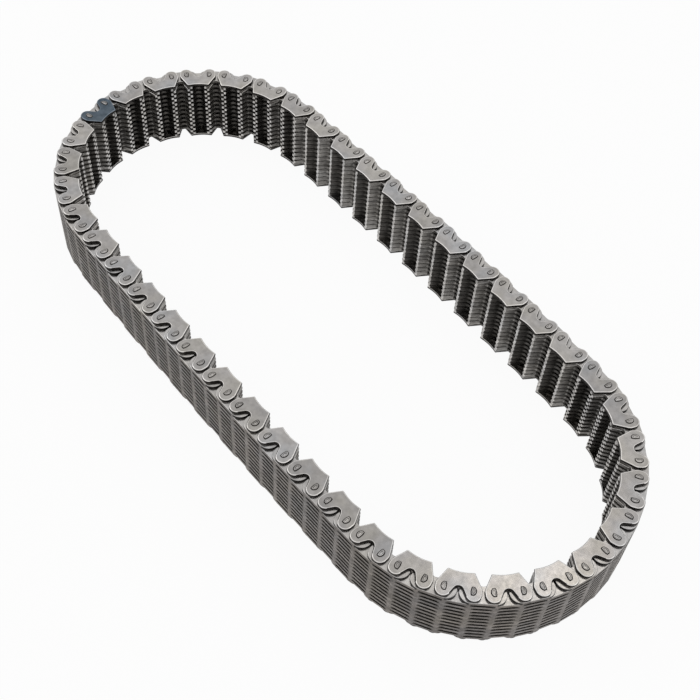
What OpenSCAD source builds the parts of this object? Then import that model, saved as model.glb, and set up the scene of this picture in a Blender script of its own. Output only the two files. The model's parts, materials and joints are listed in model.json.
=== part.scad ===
// Silent chain: an endless loop of inverted tooth link plates on rocker pins, lying on its edge.
// Seen from above the loop runs clockwise; each link is drawn with x along the link, y to its back.

/* [Loop] */
// Distance between neighbouring joints
pitch = 11.1125; // [10.9:0.0125:11.4]
// Joints from the middle of an end loop to the middle of its run-out
loop_half = 10.4; // [9.4:0.1:11.4]
// Joints over which an end loop eases into a strand
loop_ease = 2.4; // [1.2:0.1:4]
// Bend of a strand joint as a share of an end loop joint
strand_bow = 0.023; // [0:0.001:0.05]

/* [Plate stack] */
// Number of tooth plates in a middle row link
middle_plates = 12; // [8:1:13]
// Thickness of a tooth plate
plate_t = 1.6; // [1.3:0.05:1.8]
// Thickness of a guide plate
guide_t = 1.6; // [1.2:0.05:1.8]
// Free play between two plates that lie side by side
side_play = 0.06; // [0.05:0.01:0.1]

/* [Tooth plate] */
// Radius of the rounded plate end, about the joint
end_r = 5.2; // [4.8:0.05:5.3]
// Depth of the toes under the pitch line
toe_depth = 8.9; // [8.6:0.05:9.1]
// Distance from a joint outward to the middle of a toe
toe_off = 0.2; // [0.1:0.02:0.3]
// Width of a toe at its tip
toe_w = 1.45; // [1.2:0.05:1.7]
// Slope of the crotch flanks from upright
crotch_angle = 30; // [28:0.5:31]
// Depth of the crotch from the toe tips
crotch_depth = 5.6; // [5.2:0.05:6]

/* [Guide plate] */
// Distance from a joint outward to the centre of a lobe
lobe_off = 1.31; // [1.2:0.01:1.4]
// Radius of a lobe
lobe_r = 3.7; // [3.5:0.05:3.8]
// Height of the lobe centre over the pitch line
lobe_rise = 1.2; // [0.9:0.05:1.5]
// Drop of the lower lobe centre under the pitch line
lobe_drop = 0.45; // [0.3:0.05:0.6]
// Radius of the arch between the two lobes
arch_r = 2.2; // [2:0.05:2.4]
// Drop of the arch floor under the pitch line
arch_drop = 1.2; // [0.9:0.05:1.5]
// Distance from a joint outward to the outer corner of a guide toe
guide_toe_off = 0.6; // [0.4:0.02:0.8]
// Width of the flat on a guide toe
guide_toe_w = 0.6; // [0.4:0.05:0.8]
// Hollow of the inner edge between the two guide toes
guide_hollow = 0.9; // [0.6:0.05:1.2]

/* [Rocker pins] */
// Radius of the round back of a pin, about the joint
pin_r = 2.2; // [2.05:0.01:2.3]
// Width of a pin across its rolling face
pin_w = 3.6; // [3.2:0.05:3.9]
// Radius of the rolling face of a pin
rocker_r = 7; // [6.5:0.1:8]
// Play between the two rolling faces of a joint
rocker_play = 0.16; // [0.15:0.01:0.2]
// Clearance of the pins in a tooth plate's round opening
pin_play = 0.06; // [0.05:0.005:0.1]
// Clearance of a pin in a guide plate
seat_play = 0.03; // [0.02:0.005:0.04]
// Height of a riveted pin end over a guide plate
head_rise = 0.35; // [0.25:0.05:0.5]

/* [Hidden] */
$fn = 96;
// Links in the whole loop, and in one half turn of it
links = 84;
half_links = links / 2;
// Angles of a half turn and of the first link, which stands across the left end of the loop
half_turn = 180;
first_heading = 90;
// How far a straight edge ducks under the round that it runs into
tuck = 0.01;
marker_link = 82;

half_pitch = pitch / 2;
layer = plate_t + side_play;
guide_z = head_rise;
stack_z = guide_z + guide_t + side_play;
inner_layers = 2 * middle_plates - 1;
top_guide_z = stack_z + inner_layers * layer;
pin_length = top_guide_z + guide_t + head_rise;
rocker_length = inner_layers * layer - side_play;
opening_r = pin_r + pin_play;

// Path of the loop
function bend_share(j) =
  let (s = abs((j + 1 / 2 + half_links / 2) % half_links - half_links / 2))
  min(1, max(0, (loop_half - s) / loop_ease + 1 / 2)) + strand_bow;
function total(v, i = 0) = i < len(v) ? v[i] + total(v, i + 1) : 0;
bend_total = total([for (j = [0 : half_links - 1]) bend_share(j)]);
function bend(j) = half_turn * bend_share(j) / bend_total;
headings = [for (k = 0, h = first_heading; k < links; h = h - bend(k), k = k + 1) h];
function step(k) = pitch * [cos(headings[k]), sin(headings[k])];
mids = [for (k = 0, m = [0, 0]; k < links;
             m = k < links - 1 ? m + (step(k) + step(k + 1)) / 2 : m, k = k + 1) m];
loop_centre = (mids[0] + mids[half_links]) / 2;

// Tooth plate outline
toe_out = half_pitch + toe_off + toe_w / 2;
toe_in = toe_out - toe_w;
function flank(toe, centre, r) =
  let (reach = centre - toe, slope = asin((r - tuck) / norm(reach)) + atan2(reach.x, reach.y))
  centre + (r - tuck) * [cos(slope), -sin(slope)];
tooth_tangent = flank([toe_out, -toe_depth], [half_pitch, 0], end_r);
crotch_r = (toe_in / tan(crotch_angle) - crotch_depth) / (1 / sin(crotch_angle) - 1);
crotch_y = -toe_depth + crotch_depth - crotch_r;
crotch_tangent = (crotch_r - tuck) * [cos(crotch_angle), sin(crotch_angle)];

// Guide plate outline
guide_toe_out = half_pitch + guide_toe_off;
guide_toe_in = guide_toe_out - guide_toe_w;
lobe_x = half_pitch + lobe_off;
lobe_side = lobe_x + lobe_r - tuck;
guide_tangent = flank([guide_toe_out, -toe_depth], [lobe_x, -lobe_drop], lobe_r);
arch_y = arch_r - arch_drop;
arch_span = norm([lobe_x, lobe_rise - arch_y]);
arch_slope = acos((lobe_r + arch_r - 2 * tuck) / arch_span) - atan2(lobe_rise - arch_y, lobe_x);
arch_normal = [-cos(arch_slope), sin(arch_slope)];
lobe_tangent = [lobe_x, lobe_rise] + (lobe_r - tuck) * arch_normal;
arch_tangent = [0, arch_y] - (arch_r - tuck) * arch_normal;
hollow_r = (pow(guide_toe_in, 2) + pow(guide_hollow, 2)) / (2 * guide_hollow);

module both_ends() {
  children();
  mirror([1, 0]) children();
}

// Half round pin section at the right-hand joint, its rolling face towards the link's middle
module pin_section(grow = 0) {
  translate([half_pitch, 0])
    intersection() {
      circle(pin_r + grow);
      translate([rocker_play / 2 + rocker_r, 0]) circle(rocker_r + grow);
      square([4 * pin_r, pin_w + 2 * grow], center = true);
    }
}

module tooth_plate() {
  linear_extrude(plate_t)
    difference() {
      union() {
        for (side = [-1, 1])
          translate([side * half_pitch, 0]) circle(end_r);
        polygon([
          [half_pitch, end_r - tuck], [half_pitch, 0], tooth_tangent, [toe_out, -toe_depth],
          [-toe_out, -toe_depth], [-tooth_tangent.x, tooth_tangent.y],
          [-half_pitch, 0], [-half_pitch, end_r - tuck]
        ]);
      }
      translate([0, crotch_y]) circle(crotch_r);
      polygon([
        [crotch_tangent.x, crotch_y + crotch_tangent.y], [-crotch_tangent.x, crotch_y + crotch_tangent.y],
        [-toe_in, -toe_depth], [-toe_in, -toe_depth - end_r],
        [toe_in, -toe_depth - end_r], [toe_in, -toe_depth]
      ]);
      for (side = [-1, 1])
        translate([side * half_pitch, 0]) circle(opening_r);
    }
}

function across(v) = [for (i = [len(v) - 1 : -1 : 0]) [-v[i].x, v[i].y]];
guide_half = [
  [guide_toe_out, -toe_depth], guide_tangent, [lobe_x, -lobe_drop], [lobe_side, -lobe_drop],
  [lobe_side, lobe_rise], [lobe_x, lobe_rise], lobe_tangent, arch_tangent
];

module guide_plate() {
  linear_extrude(guide_t)
    difference() {
      union() {
        for (side = [-1, 1]) {
          translate([side * lobe_x, lobe_rise]) circle(lobe_r);
          translate([side * lobe_x, -lobe_drop]) circle(lobe_r);
        }
        polygon(concat(guide_half, across(guide_half)));
      }
      translate([0, arch_y]) circle(arch_r);
      translate([0, guide_hollow - toe_depth - hollow_r]) circle(hollow_r);
      both_ends() pin_section(seat_play);
    }
}

// Long pin, riveted over both guide plates
module long_pin() {
  linear_extrude(pin_length) pin_section();
}

// Short pin, held between the guide plates
module short_pin() {
  translate([0, 0, stack_z])
    linear_extrude(rocker_length) pin_section();
}

module at_link(k) {
  place = mids[k] - loop_centre;
  translate([place.x, place.y, 0]) rotate(headings[k]) children();
}

module guide_row_stack(with_top = true) {
  translate([0, 0, guide_z]) guide_plate();
  if (with_top) translate([0, 0, top_guide_z]) guide_plate();
  for (i = [1 : 2 : inner_layers - 2])
    translate([0, 0, stack_z + i * layer]) tooth_plate();
  both_ends() long_pin();
}

module middle_row_stack() {
  for (i = [0 : 2 : inner_layers - 1])
    translate([0, 0, stack_z + i * layer]) tooth_plate();
  both_ends() short_pin();
}

// Link of the guide row, with a guide plate over each face and its two long pins
module guide_row_link(k) {
  color("#9a9a98") at_link(k) guide_row_stack(k != marker_link);
}

// Link of the middle row, with its two short rocker pins
module middle_row_link(k) {
  color("#6f6a66") at_link(k) middle_row_stack();
}

// Two neighbouring links of a strand
module strand_link_pair(k) {
  color("#8b8986") {
    at_link(k) guide_row_stack();
    at_link(k + 1) middle_row_stack();
  }
}

// Dark guide plate on top of one link
module marker_guide_plate() {
  color("#3b4450") at_link(marker_link) translate([0, 0, top_guide_z]) guide_plate();
}

guide_row_link(0);  // guide_row_link_01
middle_row_link(1);  // middle_row_link_01
guide_row_link(2);  // guide_row_link_02
middle_row_link(3);  // middle_row_link_02
guide_row_link(4);  // guide_row_link_03
middle_row_link(5);  // middle_row_link_03
guide_row_link(6);  // guide_row_link_04
middle_row_link(7);  // middle_row_link_04
strand_link_pair(8);  // strand_link_pair_05
strand_link_pair(10);  // strand_link_pair_06
strand_link_pair(12);  // strand_link_pair_07
strand_link_pair(14);  // strand_link_pair_08
strand_link_pair(16);  // strand_link_pair_09
strand_link_pair(18);  // strand_link_pair_10
strand_link_pair(20);  // strand_link_pair_11
strand_link_pair(22);  // strand_link_pair_12
strand_link_pair(24);  // strand_link_pair_13
strand_link_pair(26);  // strand_link_pair_14
strand_link_pair(28);  // strand_link_pair_15
strand_link_pair(30);  // strand_link_pair_16
strand_link_pair(32);  // strand_link_pair_17
guide_row_link(34);  // guide_row_link_18
middle_row_link(35);  // middle_row_link_18
guide_row_link(36);  // guide_row_link_19
middle_row_link(37);  // middle_row_link_19
guide_row_link(38);  // guide_row_link_20
middle_row_link(39);  // middle_row_link_20
guide_row_link(40);  // guide_row_link_21
middle_row_link(41);  // middle_row_link_21
guide_row_link(42);  // guide_row_link_22
middle_row_link(43);  // middle_row_link_22
guide_row_link(44);  // guide_row_link_23
middle_row_link(45);  // middle_row_link_23
guide_row_link(46);  // guide_row_link_24
middle_row_link(47);  // middle_row_link_24
guide_row_link(48);  // guide_row_link_25
middle_row_link(49);  // middle_row_link_25
strand_link_pair(50);  // strand_link_pair_26
strand_link_pair(52);  // strand_link_pair_27
strand_link_pair(54);  // strand_link_pair_28
strand_link_pair(56);  // strand_link_pair_29
strand_link_pair(58);  // strand_link_pair_30
strand_link_pair(60);  // strand_link_pair_31
strand_link_pair(62);  // strand_link_pair_32
strand_link_pair(64);  // strand_link_pair_33
strand_link_pair(66);  // strand_link_pair_34
strand_link_pair(68);  // strand_link_pair_35
strand_link_pair(70);  // strand_link_pair_36
strand_link_pair(72);  // strand_link_pair_37
strand_link_pair(74);  // strand_link_pair_38
guide_row_link(76);  // guide_row_link_39
middle_row_link(77);  // middle_row_link_39
guide_row_link(78);  // guide_row_link_40
middle_row_link(79);  // middle_row_link_40
guide_row_link(80);  // guide_row_link_41
middle_row_link(81);  // middle_row_link_41
guide_row_link(82);  // guide_row_link_42
middle_row_link(83);  // middle_row_link_42
marker_guide_plate();
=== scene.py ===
import json
import math
import random

import bpy
import numpy as np
from mathutils import Matrix, Vector


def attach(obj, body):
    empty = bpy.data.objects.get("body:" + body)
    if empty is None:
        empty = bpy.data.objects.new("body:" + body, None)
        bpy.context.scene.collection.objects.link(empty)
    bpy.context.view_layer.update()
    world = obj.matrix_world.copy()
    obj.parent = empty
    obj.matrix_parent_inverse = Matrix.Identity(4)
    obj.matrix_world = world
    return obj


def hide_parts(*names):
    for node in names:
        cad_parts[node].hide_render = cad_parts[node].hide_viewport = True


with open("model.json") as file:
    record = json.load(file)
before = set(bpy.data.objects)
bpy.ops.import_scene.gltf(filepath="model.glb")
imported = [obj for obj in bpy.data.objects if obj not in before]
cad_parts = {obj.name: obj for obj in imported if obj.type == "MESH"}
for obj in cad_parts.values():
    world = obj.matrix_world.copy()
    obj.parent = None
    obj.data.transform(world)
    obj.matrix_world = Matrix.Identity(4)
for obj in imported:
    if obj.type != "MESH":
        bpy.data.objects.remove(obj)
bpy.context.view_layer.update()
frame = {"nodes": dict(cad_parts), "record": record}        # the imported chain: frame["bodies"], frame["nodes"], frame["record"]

mm = 0.001
print("frame loaded,", len(frame["nodes"]), "nodes")

# path of the loop: pitch in mm, half and ease in links; link 0 stands across the left end, then clockwise
loop = {"pitch": 11.1125, "links": 84, "half": 10.4, "ease": 2.4, "bow": 0.023, "firstHeading": 90.0}
# layers of the plate stack, in mm from the bottom
stack = {"middlePlates": 12, "plateT": 1.6, "guideT": 1.6, "sidePlay": 0.06, "headRise": 0.35}
stack["layer"] = stack["plateT"] + stack["sidePlay"]
stack["firstZ"] = stack["headRise"] + stack["guideT"] + stack["sidePlay"]
stack["layers"] = 2 * stack["middlePlates"] - 1
stack["topGuideZ"] = stack["firstZ"] + stack["layers"] * stack["layer"]
stack["faceZ"] = stack["topGuideZ"] + stack["guideT"]
halfPitch = loop["pitch"] / 2


def linkPlaces():
    halfLinks = loop["links"] // 2
    shares = []                     # how much of a half turn each joint bends
    for joint in range(loop["links"]):
        away = abs((joint + 0.5 + halfLinks / 2) % halfLinks - halfLinks / 2)
        shares.append(min(1, max(0, (loop["half"] - away) / loop["ease"] + 0.5)) + loop["bow"])
    whole = sum(shares[:halfLinks])
    heading, spot = math.radians(loop["firstHeading"]), Vector((0, 0))
    headings, mids, spots = [], [], []
    for link in range(loop["links"]):
        step = Vector((math.cos(heading), math.sin(heading))) * loop["pitch"]
        headings.append(heading)
        mids.append(spot + step / 2)
        spot = spot + step
        heading -= math.pi * shares[link] / whole
    centre = (mids[0] + mids[halfLinks]) / 2
    for mid, turn in zip(mids, headings):
        x, y = mid - centre
        spots.append(Matrix.Translation((x * mm, y * mm, 0)) @ Matrix.Rotation(turn, 4, "Z"))
    return spots


# finishes

finishes = {
    "guideSteel": {"dark": (0.302, 0.296, 0.288), "pale": (0.405, 0.397, 0.387), "rough": (0.16, 0.24),
                   "patch": 260, "grain": 2400, "bump": 0.06, "tint": 0.18, "tone": 0.10},
    # painted highlight on the rounded rims of the guide plates
    "guideRim": {"dark": (0.58, 0.565, 0.545), "pale": (0.74, 0.725, 0.705), "rough": (0.22, 0.36),
                 "patch": 420, "grain": 2600, "bump": 0.05, "tint": 0.12, "tone": 0.06},
    # painted shade: near-black walls under the guide plates' rims and at the top tooth plates' ends, where shadow
    # falls
    "guideWall": {"dark": (0.012, 0.011, 0.010), "pale": (0.034, 0.031, 0.029), "rough": (0.34, 0.50),
                  "patch": 420, "grain": 2000, "bump": 0.08, "tint": 0.09, "tone": 0.12},
    # painted shade on the pin heads' walls and in the dished ring about each pin
    "pinGroove": {"dark": (0.085, 0.080, 0.075), "pale": (0.190, 0.180, 0.170), "rough": (0.40, 0.60),
                  "patch": 700, "grain": 2000, "bump": 0.08, "tint": 0.09, "tone": 0.15},
    "toothBack": {"dark": (0.128, 0.116, 0.105), "pale": (0.222, 0.205, 0.190), "rough": (0.34, 0.52),
                  "patch": 320, "grain": 1800, "bump": 0.10, "tint": 0.18, "tone": 0.18},
    # painted shade on the end arcs of the tooth plates, where the neighbouring plates cover them
    "toothEnd": {"dark": (0.068, 0.062, 0.056), "pale": (0.130, 0.120, 0.110), "rough": (0.40, 0.60),
                 "patch": 320, "grain": 1800, "bump": 0.10, "tint": 0.09, "tone": 0.15},
    # painted light: the top faces of the top tooth plates, lighter than the shaded faces beneath
    "toothTop": {"dark": (0.36, 0.352, 0.342), "pale": (0.49, 0.48, 0.466), "rough": (0.18, 0.28),
                 "patch": 380, "grain": 2000, "bump": 0.08, "tint": 0.12, "tone": 0.08},
    # painted shade on the flat faces between stacked tooth plates
    "toothSideShade": {"dark": (0.080, 0.074, 0.068), "pale": (0.145, 0.136, 0.127), "rough": (0.40, 0.60),
                  "patch": 380, "grain": 2000, "bump": 0.08, "tint": 0.06, "tone": 0.12},
    # painted light: the lit copy of the flank steel, on the flanks open to light
    "toothFlank": {"dark": (0.165, 0.158, 0.149), "pale": (0.290, 0.280, 0.266), "rough": (0.40, 0.60),
                   "patch": 300, "grain": 1500, "bump": 0.10, "tint": 0.06, "tone": 0.20},
    # painted shade on the flanks that light cannot reach: crotches under a guide plate, outer flanks between guide
    # plates
    "crotch": {"dark": (0.052, 0.049, 0.045), "pale": (0.105, 0.099, 0.092), "rough": (0.40, 0.60),
               "patch": 300, "grain": 1500, "bump": 0.10, "tint": 0.06, "tone": 0.20},
    # painted highlight on the toe tips
    "toeTip": {"dark": (0.35, 0.34, 0.328), "pale": (0.56, 0.548, 0.53), "rough": (0.26, 0.42),
               "patch": 600, "grain": 2200, "bump": 0.06, "tint": 0.09, "tone": 0.25},
    "pinSteel": {"dark": (0.24, 0.233, 0.225), "pale": (0.52, 0.51, 0.495), "rough": (0.22, 0.36),
                 "patch": 700, "grain": 2600, "bump": 0.10, "tint": 0.15, "tone": 0.18},
    "markerSteel": {"dark": (0.064, 0.084, 0.104), "pale": (0.110, 0.138, 0.165), "rough": (0.28, 0.42),
                    "patch": 260, "grain": 2200, "bump": 0.06, "tint": 0.12, "tone": 0.05},
    # painted highlight on the rounded rims of the marker plate
    "markerRim": {"dark": (0.12, 0.15, 0.18), "pale": (0.21, 0.245, 0.285), "rough": (0.22, 0.34),
                  "patch": 420, "grain": 2400, "bump": 0.05, "tint": 0.09, "tone": 0.05},
}
# shared by all the steels: noises as (detail, roughness), temper colours as (place on the ramp, colour)
texture = {"patchNoise": (5, 0.6), "patchEnds": (0.32, 0.66), "heatScale": 55, "heatNoise": (2, 0.5),
           "straw": (0.36, (0.92, 0.78, 0.55)), "rose": (0.52, (0.90, 0.80, 0.80)),
           "blue": (0.68, (0.60, 0.70, 0.92)), "satinScale": 2.3, "satinNoise": (4, 0.65), "satinEnds": (0.3, 0.7),
           "grainNoise": (3, 0.6), "grainDepth": 0.06}


def makeSteel(name, look):
    steel = bpy.data.materials.new(name)
    steel.use_nodes = True
    nodes, links = steel.node_tree.nodes, steel.node_tree.links
    shader = nodes["Principled BSDF"]
    shader.inputs["Metallic"].default_value = 1.0
    place = nodes.new("ShaderNodeTexCoord").outputs["Object"]

    def noise(scale, detail, roughness):
        cloud = nodes.new("ShaderNodeTexNoise")
        cloud.inputs["Scale"].default_value = scale
        cloud.inputs["Detail"].default_value = detail
        cloud.inputs["Roughness"].default_value = roughness
        links.new(place, cloud.inputs["Vector"])
        return cloud.outputs["Fac"]

    def ramp(value, *stops):
        band = nodes.new("ShaderNodeValToRGB")
        for stop, (spot, colour) in zip(band.color_ramp.elements, stops):
            stop.position, stop.color = spot, (*colour, 1)
        links.new(value, band.inputs["Fac"])
        return band

    darkEnd, paleEnd = texture["patchEnds"]       # handling marks and oil patches
    patches = ramp(noise(look["patch"], *texture["patchNoise"]), (darkEnd, look["dark"]), (paleEnd, look["pale"]))
    heat = ramp(noise(texture["heatScale"], *texture["heatNoise"]), texture["straw"], texture["blue"])
    roseSpot, roseColour = texture["rose"]        # faint straw, rose and blue temper colours
    heat.color_ramp.elements.new(roseSpot).color = (*roseColour, 1)
    tinted = nodes.new("ShaderNodeMix")
    tinted.data_type, tinted.blend_type = "RGBA", "MULTIPLY"
    tinted.inputs[0].default_value = look["tint"]
    links.new(patches.outputs["Color"], tinted.inputs[6])
    links.new(heat.outputs["Color"], tinted.inputs[7])

    tone = nodes.new("ShaderNodeAttribute")       # each plate's own shade
    tone.attribute_name = "plateTone"
    shade = nodes.new("ShaderNodeMapRange")
    shade.inputs["To Min"].default_value = 1 - look["tone"]
    shade.inputs["To Max"].default_value = 1 + look["tone"]
    links.new(tone.outputs["Fac"], shade.inputs["Value"])
    toned = nodes.new("ShaderNodeVectorMath")
    toned.operation = "SCALE"
    links.new(tinted.outputs[2], toned.inputs[0])
    links.new(shade.outputs["Result"], toned.inputs["Scale"])
    links.new(toned.outputs["Vector"], shader.inputs["Base Color"])

    satin = nodes.new("ShaderNodeMapRange")
    for ends, (low, high) in (("From", texture["satinEnds"]), ("To", look["rough"])):
        satin.inputs[ends + " Min"].default_value = low
        satin.inputs[ends + " Max"].default_value = high
    links.new(noise(look["patch"] * texture["satinScale"], *texture["satinNoise"]), satin.inputs["Value"])
    links.new(satin.outputs["Result"], shader.inputs["Roughness"])

    tumbled = nodes.new("ShaderNodeBump")         # fine tumbling marks
    tumbled.inputs["Strength"].default_value = look["bump"]
    tumbled.inputs["Distance"].default_value = texture["grainDepth"] * mm
    links.new(noise(look["grain"], *texture["grainNoise"]), tumbled.inputs["Height"])
    links.new(tumbled.outputs["Normal"], shader.inputs["Normal"])
    return steel


steels = {name: makeSteel(name, look) for name, look in finishes.items()}
print("finishes made,", len(steels))


# modelling helpers

cutPast = 1.0                            # mm that a cutter stands out of what it cuts
shading = {"smoothAngle": 32, "flatZ": 0.999}


def selectOnly(*pieces):
    bpy.ops.object.select_all(action="DESELECT")
    for piece in pieces:
        piece.select_set(True)
    bpy.context.view_layer.objects.active = pieces[0]


def arcPoints(centre, radius, start, end, steps):
    turns = [math.radians(start + (end - start) * i / steps) for i in range(steps + 1)]
    return [(centre[0] + radius * math.cos(a), centre[1] + radius * math.sin(a)) for a in turns]


def mirrored(points):
    return [(-x, y) for x, y in reversed(points)]


def drawPlate(name, outline, low, high):
    bpy.ops.object.select_all(action="DESELECT")
    bpy.ops.mesh.primitive_circle_add(vertices=len(outline), radius=loop["pitch"] * mm, fill_type="NGON")
    plate = bpy.context.object
    plate.name = name
    for vert, (x, y) in zip(plate.data.vertices, outline):
        vert.co = (x * mm, y * mm, low * mm)
    bpy.ops.object.mode_set(mode="EDIT")
    bpy.ops.mesh.select_mode(type="FACE")
    bpy.ops.mesh.select_all(action="SELECT")
    bpy.ops.mesh.extrude_region_move(TRANSFORM_OT_translate={"value": (0, 0, (high - low) * mm)})
    bpy.ops.mesh.select_all(action="SELECT")
    bpy.ops.mesh.normals_make_consistent(inside=False)
    bpy.ops.object.mode_set(mode="OBJECT")
    return plate


def selectCap(plate, up):
    caps = sorted(plate.data.polygons, key=lambda face: face.center.z)
    for part in (plate.data.polygons, plate.data.vertices, plate.data.edges):
        for item in part:
            item.select = False
    (caps[-1] if up else caps[0]).select = True
    bpy.ops.object.mode_set(mode="EDIT")


def roundCap(plate, up, rim, rings):
    selectCap(plate, up)
    for ring in range(rings):      # each inset climbs one step of a quarter round
        a, b = (math.pi / 2 * (ring + i) / rings for i in (0, 1))
        bpy.ops.mesh.inset(thickness=rim * (math.cos(a) - math.cos(b)) * mm,
                           depth=rim * (math.sin(b) - math.sin(a)) * mm)
    bpy.ops.object.mode_set(mode="OBJECT")


def cutAway(plate, cutter):
    selectOnly(plate)
    cut = plate.modifiers.new("opening", "BOOLEAN")
    cut.operation, cut.solver, cut.object = "DIFFERENCE", "EXACT", cutter
    bpy.ops.object.modifier_apply(modifier=cut.name)
    bpy.data.objects.remove(cutter)


def paint(plate, main, choose):          # the last finish that fits a face takes it
    names = [main] + sorted(choose)
    for name in names:
        plate.data.materials.append(steels[name])
    for face in plate.data.polygons:
        for name, fits in choose.items():
            if fits(face.center / mm, face.normal):
                face.material_index = names.index(name)
    selectOnly(plate)
    bpy.ops.object.shade_smooth_by_angle(angle=math.radians(shading["smoothAngle"]))
    for face in plate.data.polygons:
        if abs(face.normal.z) > shading["flatZ"]:      # the ground faces stay flat
            face.use_smooth = False


# pins

pin = {"radius": 2.2, "width": 3.6, "rollRadius": 7.0, "rollPlay": 0.16, "openingR": 2.26, "seatPlay": 0.03,
       "headRim": 0.35, "headRings": 2, "dentEdge": 0.12, "dentSlope": 0.2, "dentDepth": 0.25,
       "backSteps": 8, "rollSteps": 4, "wallZ": 0.8}


def pinSection(grow):
    back, roll, half = pin["radius"] + grow, pin["rollRadius"] + grow, pin["width"] / 2 + grow
    tip, swing = (math.degrees(math.asin(half / r)) for r in (back, roll))
    rollX = halfPitch + pin["rollPlay"] / 2 + pin["rollRadius"]
    outside = arcPoints((halfPitch, 0), back, -tip, tip, pin["backSteps"])
    return outside + arcPoints((rollX, 0), roll, 180 - swing, 180 + swing, pin["rollSteps"])


def makePin(name, low, high, riveted):
    body = drawPlate(name, pinSection(0), low, high)
    if riveted:
        for up in (True, False):
            roundCap(body, up, pin["headRim"], pin["headRings"])
            selectCap(body, up)                 # staking dent in the head
            bpy.ops.mesh.inset(thickness=pin["dentEdge"] * mm)
            bpy.ops.mesh.inset(thickness=pin["dentSlope"] * mm, depth=-pin["dentDepth"] * mm)
            bpy.ops.object.mode_set(mode="OBJECT")
    # painted shade on the walls of the head
    paint(body, "pinSteel", {"pinGroove": lambda at, n: abs(n.z) < pin["wallZ"]})
    return body


headless = pin["headRim"]      # the rounded part of a head is added on top
longPin = makePin("longPin", headless, stack["faceZ"] + stack["headRise"] - headless, True)
shortPin = makePin("shortPin", stack["firstZ"], stack["topGuideZ"] - stack["sidePlay"], False)
print("pins made,", len(longPin.data.polygons), "and", len(shortPin.data.polygons), "faces")


# tooth plate

tooth = {"endR": 5.2, "toeDepth": 8.9, "toeOff": 0.2, "toeW": 1.45, "toeRound": 0.34,
         "inCut": 0.35, "floorCut": 0.6, "outCut": 0.1, "cutRise": 0.8,      # shares of toeRound
         "crotchAngle": 30.0, "crotchDepth": 5.6, "rim": 0.3,
         "rimRings": 2, "endSteps": 14, "crotchSteps": 8, "openingSteps": 16,
         "edgeZ": 0.5, "backY": 2.2, "crotchX": 1.8, "tipRise": 0.45,        # where the paints meet
         "endOff": 1.5, "topEndOff": 0.6, "endY": -3.0}


def flankAngle(toe, centre, radius):
    across, up = centre[0] - toe[0], centre[1] - toe[1]
    return math.degrees(math.asin(radius / math.hypot(across, up)) + math.atan2(across, up))


def toothOutline():
    toeOut = halfPitch + tooth["toeOff"] + tooth["toeW"] / 2
    toeIn = toeOut - tooth["toeW"]
    lean, floor, corner = math.radians(tooth["crotchAngle"]), -tooth["toeDepth"], tooth["toeRound"]
    crotchR = (toeIn / math.tan(lean) - tooth["crotchDepth"]) / (1 / math.sin(lean) - 1)
    crotchY = floor + tooth["crotchDepth"] - crotchR
    flank = flankAngle((toeOut, floor), (halfPitch, 0), tooth["endR"])
    cutIn, cutFloor, cutOut, rise = (corner * tooth[k] for k in ("inCut", "floorCut", "outCut", "cutRise"))
    half = [(toeIn - cutIn, floor + rise), (toeIn + cutFloor, floor),
            (toeOut - cutFloor, floor), (toeOut - cutOut, floor + rise)]
    half += arcPoints((halfPitch, 0), tooth["endR"], -flank, 90, tooth["endSteps"])
    swing = tooth["crotchAngle"]
    return half + mirrored(half) + arcPoints((0, crotchY), crotchR, 180 - swing, swing, tooth["crotchSteps"])


def makeToothPlate(name, topMost, covered):
    rim = tooth["rim"] if topMost else 0
    plate = drawPlate(name, toothOutline(), 0, stack["plateT"] - rim)
    if topMost:
        roundCap(plate, True, rim, tooth["rimRings"])
    for side in (-1, 1):
        circle = arcPoints((side * halfPitch, 0), pin["openingR"], 0, 360, tooth["openingSteps"])[:-1]
        cutAway(plate, drawPlate("opening", circle, -cutPast, stack["plateT"] + cutPast))

    def onEdge(n):
        return abs(n.z) < tooth["edgeZ"]

    def onEnd(at, off):
        return abs(at.x) > halfPitch + off and at.y > tooth["endY"]

    def inShade(at, n):             # the crotch of a covered plate, the outer flanks of an open one
        return abs(at.x) < tooth["crotchX"] or (at.x * n.x < 0) == covered

    # the flat faces between the plates take the painted shade of the main finish
    paint(plate, "toothSideShade", {
        "toothBack": lambda at, n: onEdge(n) and at.y > tooth["backY"],
        # painted light on the flanks open to light
        "toothFlank": lambda at, n: onEdge(n) and at.y <= tooth["backY"],
        # painted shade in the crotch of a covered plate and on the outer flanks of an open one
        "crotch": lambda at, n: onEdge(n) and at.y <= tooth["backY"] and inShade(at, n),
        # painted shade on the end arcs
        "toothEnd": lambda at, n: onEdge(n) and onEnd(at, tooth["endOff"]),
        # painted highlight on the toe tips
        "toeTip": lambda at, n: onEdge(n) and at.y < tooth["tipRise"] - tooth["toeDepth"],
        # painted shade on the end walls of a top tooth plate
        "guideWall": lambda at, n: topMost and onEdge(n) and onEnd(at, tooth["topEndOff"]),
        # painted light on the top face of a top plate
        "toothTop": lambda at, n: topMost and n.z > tooth["edgeZ"],
    })
    return plate


coveredTooth = makeToothPlate("coveredTooth", False, True)       # under a guide plate
coveredTop = makeToothPlate("coveredTop", True, True)
openTooth = makeToothPlate("openTooth", False, False)            # between two guide plates
openTop = makeToothPlate("openTop", True, False)
print("tooth plates made,", len(openTooth.data.polygons), "faces each")


# guide plate

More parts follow.
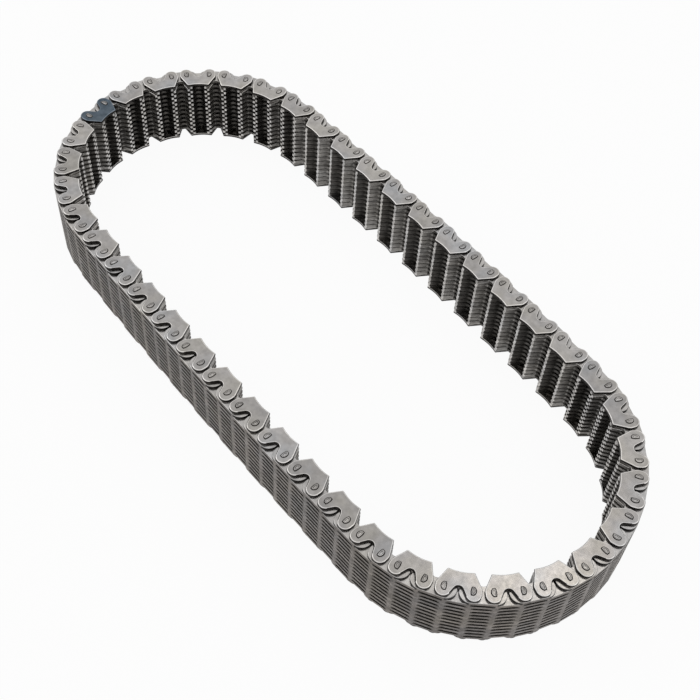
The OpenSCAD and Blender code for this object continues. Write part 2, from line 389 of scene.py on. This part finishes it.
guide = {"lobeOff": 1.31, "lobeR": 3.7, "lobeRise": 1.2, "lobeDrop": 0.45, "archR": 2.2, "archDrop": 1.2,
         "toeOff": 0.6, "toeW": 0.6, "hollow": 0.65, "rim": 0.60, "rimRings": 4, "underRim": 0.22, "underRings": 1,
         "groove": 0.42, "grooveDepth": 0.35, "grooveTaper": (0.70, 0.80, 1), "grooveOver": 0.02,
         "flankSteps": 3, "lobeSteps": 14, "archSteps": 12, "hollowSteps": 8,
         "wallZ": 0.6, "archWallZ": 0.9, "flatZ": 0.985, "archX": 3.4, "archY": -1.6,     # where the paints meet
         "grooveX": 2.0, "grooveY": 2.6, "grooveUnder": 0.05, "grooveEdge": 0.02}


def guideOutline():
    toeOut = halfPitch + guide["toeOff"]
    toeIn, floor = toeOut - guide["toeW"], -tooth["toeDepth"]
    lobeX, lobeR = halfPitch + guide["lobeOff"], guide["lobeR"]
    flank = flankAngle((toeOut, floor), (lobeX, -guide["lobeDrop"]), lobeR)
    archY = guide["archR"] - guide["archDrop"]
    rise = guide["lobeRise"] - archY
    between = math.acos((lobeR + guide["archR"]) / math.hypot(lobeX, rise))
    slope = math.degrees(between - math.atan2(rise, lobeX))
    hollowR = (toeIn ** 2 + guide["hollow"] ** 2) / (2 * guide["hollow"])
    swing = math.degrees(math.asin(toeIn / hollowR))
    half = [(toeOut, floor)]
    half += arcPoints((lobeX, -guide["lobeDrop"]), lobeR, -flank, 0, guide["flankSteps"])
    half += arcPoints((lobeX, guide["lobeRise"]), lobeR, 0, 180 - slope, guide["lobeSteps"])
    arch = arcPoints((0, archY), guide["archR"], -slope, slope - 180, guide["archSteps"])
    hollowY = floor + guide["hollow"] - hollowR
    hollow = arcPoints((0, hollowY), hollowR, 90 + swing, 90 - swing, guide["hollowSteps"])
    return half + arch + mirrored(half) + hollow


def makeGuidePlate(name, face, rim):
    plate = drawPlate(name, guideOutline(), guide["underRim"], stack["guideT"] - guide["rim"])
    roundCap(plate, True, guide["rim"], guide["rimRings"])
    roundCap(plate, False, guide["underRim"], guide["underRings"])
    grooveZ, middle = stack["guideT"] - guide["grooveDepth"], halfPitch + pin["radius"] / 2
    for side in (-1, 1):
        seat, mouth = ([(side * x, y) for x, y in pinSection(grow)] for grow in (pin["seatPlay"], guide["groove"]))
        cutAway(plate, drawPlate("seat", seat, -cutPast, stack["guideT"] + cutPast))
        groove = drawPlate("groove", mouth, grooveZ, stack["guideT"] + guide["grooveOver"])
        selectCap(groove, False)            # dished ring about the pin head
        bpy.ops.transform.resize(value=guide["grooveTaper"], center_override=(side * middle * mm, 0, grooveZ * mm))
        bpy.ops.object.mode_set(mode="OBJECT")
        cutAway(plate, groove)

    def inGroove(at):
        deep = -guide["grooveUnder"] < at.z - grooveZ < guide["grooveDepth"] - guide["grooveEdge"]
        return deep and abs(abs(at.x) - middle) < guide["grooveX"] and abs(at.y) < guide["grooveY"]

    def wallLimit(at):                      # the painted wall shade reaches further up the rim inside the arch
        inArch = abs(at.x) < guide["archX"] and at.y > guide["archY"]
        return guide["archWallZ" if inArch else "wallZ"]

    paint(plate, face, {
        # painted shade: the guide plate's side walls near-black, reaching further up inside the arch
        "guideWall": lambda at, n: abs(n.z) < wallLimit(at),
        # painted highlight on the rounded rim
        rim: lambda at, n: wallLimit(at) < n.z < guide["flatZ"],
        # painted shade in the dished ring about each pin
        "pinGroove": lambda at, n: inGroove(at),
    })
    return plate


guidePlate = makeGuidePlate("guidePlate", "guideSteel", "guideRim")
markerPlate = makeGuidePlate("markerPlate", "markerSteel", "markerRim")
print("guide plates made,", len(guidePlate.data.polygons), "faces")


# links: stacks of copies, each with its own mesh

def stacked(source, lift=0.0, turned=False, across=False):
    copy = source.copy()
    copy.data = source.data.copy()
    bpy.context.scene.collection.objects.link(copy)
    move = Matrix.Translation((0, 0, lift * mm))
    if turned:                      # over on its other face
        move = move @ Matrix.Rotation(math.pi, 4, "Y")
    if across:                      # to the link's other joint
        move = move @ Matrix.Rotation(math.pi, 4, "Z")
    copy.data.transform(move)
    return copy


def joined(name, pieces):
    selectOnly(*pieces)
    if len(pieces) > 1:
        bpy.ops.object.join()
    pieces[0].name = name
    return pieces[0]


def pattern(name, pieces):
    for number, piece in enumerate(pieces):      # which solid each face is from
        solid = piece.data.attributes.new("solid", "INT", "FACE")
        solid.data.foreach_set("value", np.full(len(piece.data.polygons), number, np.int32))
    return joined(name, pieces)


def toothLayers(first, plate, top):
    lifts = [stack["firstZ"] + i * stack["layer"] for i in range(first, stack["layers"], 2)]
    return [stacked(plate, lift) for lift in lifts[:-1]] + [stacked(top, lifts[-1])]


def guideRow(name, withTop):
    pieces = [stacked(guidePlate, stack["headRise"] + stack["guideT"], turned=True)]
    pieces += [stacked(guidePlate, stack["topGuideZ"])] if withTop else []
    pieces += toothLayers(1, coveredTooth, coveredTop)
    return pattern(name, pieces + [stacked(longPin), stacked(longPin, across=True)])


def middleRow(name):
    plates = toothLayers(0, openTooth, openTop)
    return pattern(name, plates + [stacked(shortPin), stacked(shortPin, across=True)])


patterns = {"guide": guideRow("guidePattern", True), "bare": guideRow("barePattern", False),
            "middle": middleRow("middlePattern"),
            "marker": pattern("markerPattern", [stacked(markerPlate, stack["topGuideZ"])])}
print("links stacked,", *(len(piece.data.polygons) for piece in patterns.values()), "faces")


# the chain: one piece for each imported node

places = linkPlaces()
markerNode, markerLink = "marker_guide_plate", 82
toneSeed = 900
bodyOf = {node: body for body, nodes in frame["record"]["behaviour"]["bodies"].items() for node in nodes}


def placed(kind, link):
    source = patterns[kind]
    piece = source.copy()
    piece.data = source.data.copy()
    bpy.context.scene.collection.objects.link(piece)
    faces = len(piece.data.polygons)
    solid = np.zeros(faces, np.int32)
    piece.data.attributes["solid"].data.foreach_get("value", solid)
    dice = random.Random(toneSeed + link)
    tones = np.array([dice.random() for _ in range(solid.max() + 1)], np.float32)
    piece.data.attributes.remove(piece.data.attributes["solid"])
    tone = piece.data.attributes.new("plateTone", "FLOAT", "FACE")
    tone.data.foreach_set("value", tones[solid])
    piece.data.transform(places[link])
    return piece


def dress(node):
    link = markerLink if node == markerNode else 2 * (int(node.rsplit("_", 1)[1]) - 1)
    if node == markerNode:
        pieces, slot = [placed("marker", link)], "marker_steel"
    elif node.startswith("middle"):
        pieces, slot = [placed("middle", link + 1)], "tooth_steel"
    else:
        pieces, slot = [placed("bare" if link == markerLink else "guide", link)], "link_steel"
    if node.startswith("strand"):
        pieces.append(placed("middle", link + 1))
    piece = joined(node + "_plates", pieces)
    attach(piece, bodyOf[node])
    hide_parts(node)
    return piece


chainPieces = [dress(node) for node in sorted(frame["nodes"])]
prototypes = [longPin, shortPin, coveredTooth, coveredTop, openTooth, openTop, guidePlate, markerPlate]
for spare in prototypes + list(patterns.values()):
    bpy.data.objects.remove(spare)
print("chain dressed,", len(chainPieces), "pieces")


# floor, light and camera

studio = {"floor": 8.0, "floorDrop": 0.05, "floorColour": (0.86, 0.86, 0.855), "floorRough": 0.9,
          "floorGlow": 0.94, "sky": 0.70}


def seenDirectly(nodes):
    path = nodes.new("ShaderNodeLightPath")
    seen = path.outputs["Is Camera Ray"]
    for ray in ("Is Glossy Ray", "Is Transmission Ray"):
        either = nodes.new("ShaderNodeMath")
        either.operation = "MAXIMUM"
        either.id_data.links.new(seen, either.inputs[0])
        either.id_data.links.new(path.outputs[ray], either.inputs[1])
        seen = either.outputs[0]
    return seen


bpy.ops.mesh.primitive_plane_add(size=studio["floor"], location=(0, 0, -studio["floorDrop"] * mm))
floor = bpy.context.object
floor.name = "floor"
paper = bpy.data.materials.new("paper")
paper.use_nodes = True
paperNodes, paperLinks = paper.node_tree.nodes, paper.node_tree.links
paperNodes["Principled BSDF"].inputs["Base Color"].default_value = (*studio["floorColour"], 1)
paperNodes["Principled BSDF"].inputs["Roughness"].default_value = studio["floorRough"]
glow = paperNodes.new("ShaderNodeEmission")
blend = paperNodes.new("ShaderNodeMixShader")
share = paperNodes.new("ShaderNodeMath")
share.operation = "MULTIPLY"
share.inputs[1].default_value = studio["floorGlow"]
paperLinks.new(seenDirectly(paperNodes), share.inputs[0])
paperLinks.new(share.outputs[0], blend.inputs["Fac"])
paperLinks.new(paperNodes["Principled BSDF"].outputs["BSDF"], blend.inputs[1])
paperLinks.new(glow.outputs["Emission"], blend.inputs[2])
paperLinks.new(blend.outputs["Shader"], paperNodes["Material Output"].inputs["Surface"])
floor.data.materials.append(paper)

world = bpy.data.worlds.new("studio")
bpy.context.scene.world = world
world.use_nodes = True
skyNodes, skyLinks = world.node_tree.nodes, world.node_tree.links
level = skyNodes.new("ShaderNodeMapRange")
level.inputs["To Min"].default_value = studio["sky"]
level.inputs["To Max"].default_value = 1.0
skyLinks.new(seenDirectly(skyNodes), level.inputs["Value"])
skyLinks.new(level.outputs["Result"], skyNodes["Background"].inputs["Strength"])
skyNodes["Background"].inputs["Color"].default_value = (1, 1, 1, 1)

lamps = {
    "overhead": {"at": (-0.18, 0.675, 1.54), "aim": (0.1, 0, 0.04), "size": 0.22, "power": 0.27,
                 "colour": (1.0, 0.94, 0.86)},
    "leftBox": {"at": (-0.75, -0.45, 0.85), "aim": (0, 0, 0.02), "size": 0.5, "power": 0.8, "colour": (1, 1, 1)},
    "rightBox": {"at": (0.85, 0.35, 0.60), "aim": (0, 0, 0.02), "size": 0.5, "power": 0.6, "colour": (1, 1, 1)},
}
for name, lamp in lamps.items():
    data = bpy.data.lights.new(name, "AREA")
    data.size, data.energy, data.color = lamp["size"], lamp["power"], lamp["colour"]
    box = bpy.data.objects.new(name, data)
    bpy.context.scene.collection.objects.link(box)
    box.location = lamp["at"]
    box.rotation_euler = (Vector(lamp["aim"]) - Vector(lamp["at"])).to_track_quat("-Z", "Y").to_euler()

shot = {"azimuth": -44.61, "elevation": 52.864, "distance": 0.63613, "roll": 5.857,
        "aim": (0.01942, 0.01353, 0.0209), "lens": 61.96, "shift": (-0.0308, -0.0292),
        "sensor": 36.0, "clip": (0.01, 50.0)}


def placeCamera():
    around, up, roll = (math.radians(shot[k]) for k in ("azimuth", "elevation", "roll"))
    back = Vector((math.cos(around) * math.cos(up), math.sin(around) * math.cos(up), math.sin(up)))
    right = Vector((-math.sin(around), math.cos(around), 0))
    top = back.cross(right)
    tippedRight = right * math.cos(roll) + top * math.sin(roll)
    tippedTop = top * math.cos(roll) - right * math.sin(roll)
    data = bpy.data.cameras.new("camera")
    data.lens, data.sensor_width = shot["lens"], shot["sensor"]
    data.clip_start, data.clip_end = shot["clip"]
    data.shift_x, data.shift_y = shot["shift"]
    camera = bpy.data.objects.new("camera", data)
    bpy.context.scene.collection.objects.link(camera)
    turn = Matrix((tippedRight, tippedTop, back)).transposed().to_4x4()
    camera.matrix_world = Matrix.Translation(Vector(shot["aim"]) + back * shot["distance"]) @ turn
    bpy.context.scene.camera = camera


placeCamera()
bpy.context.scene.view_settings.view_transform = "Standard"
print("studio set")
